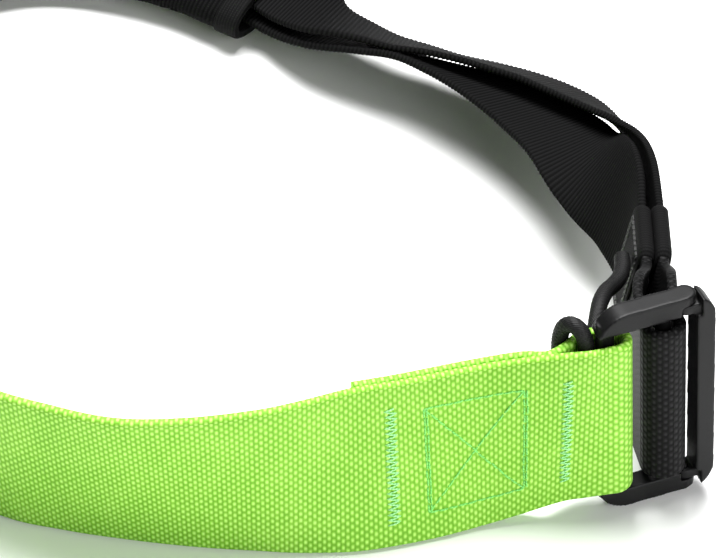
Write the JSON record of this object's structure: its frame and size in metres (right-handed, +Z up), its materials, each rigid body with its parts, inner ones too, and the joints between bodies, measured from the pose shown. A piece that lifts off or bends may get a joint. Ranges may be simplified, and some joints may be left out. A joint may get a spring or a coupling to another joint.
{
  "type": "adjustable flat web sling",
  "caption": "Closed loop of flat webbing with a two-piece tilting bar buckle, twin ribbed straps, a retaining cord and a padded sleeve, standing on its edge.",
  "frame": {"origin": "centre of the loop's box, at the surface that the webbing's lower edges stand on", "axes": "+Z up, the loop's axis; -Y is the front, where the wide strap and its sewn end are; +X is the side with the buckle"},
  "size_m": [0.2379, 0.2651, 0.0607],
  "materials": {
    "lime_webbing": "heavy nylon basket weave",
    "black_webbing": "heavy nylon basket weave",
    "ribbed_webbing": "cross-ribbed nylon webbing",
    "black_steel": "satin black coating",
    "tab_webbing": "fine woven tape",
    "cord": "braided sheath",
    "sleeve_fabric": "ribbed woven cover",
    "foam": "closed-cell foam",
    "mint_thread": "bonded polyester thread",
    "green_thread": "bonded polyester thread",
    "black_thread": "bonded polyester thread"
  },
  "bodies": {
    "webbing": {"loop_strap": "lime_webbing", "adjuster_webbing": "black_webbing", "inner_strap": "ribbed_webbing", "outer_strap": "ribbed_webbing", "inner_tab": "tab_webbing", "outer_tab": "tab_webbing", "retaining_cord": "cord", "sleeve_cover": "sleeve_fabric", "sleeve_pad": "foam", "sleeve_binding_front": "tab_webbing", "sleeve_binding_rear": "tab_webbing", "loop_bartack_inner": "mint_thread", "loop_bartack_outer": "mint_thread", "loop_box_stitch": "green_thread", "adjuster_bartack": "black_thread", "inner_tab_stitch": "black_thread", "outer_tab_stitch": "black_thread", "rear_bartack_front": "mint_thread", "rear_bartack_rear": "mint_thread", "sleeve_stitch": "black_thread"},
    "base": {"base_frame": "black_steel", "lock_bar": "black_steel"},
    "lock": {"lock_frame": "black_steel"}
  },
  "joints": [
    {"name": "buckle_swivel", "type": "hinge", "parent": "webbing", "child": "base", "pos_m": [0.09168, -0.11092, 0.02989], "axis": [-0.0454, 0, 0.999], "range_deg": [-3, 3]},
    {"name": "lock_tilt", "type": "hinge", "parent": "base", "child": "lock", "pos_m": [0.11027, -0.10415, 0.03073], "axis": [0.0454, 0, -0.999], "range_deg": [0, 40]}
  ]
}
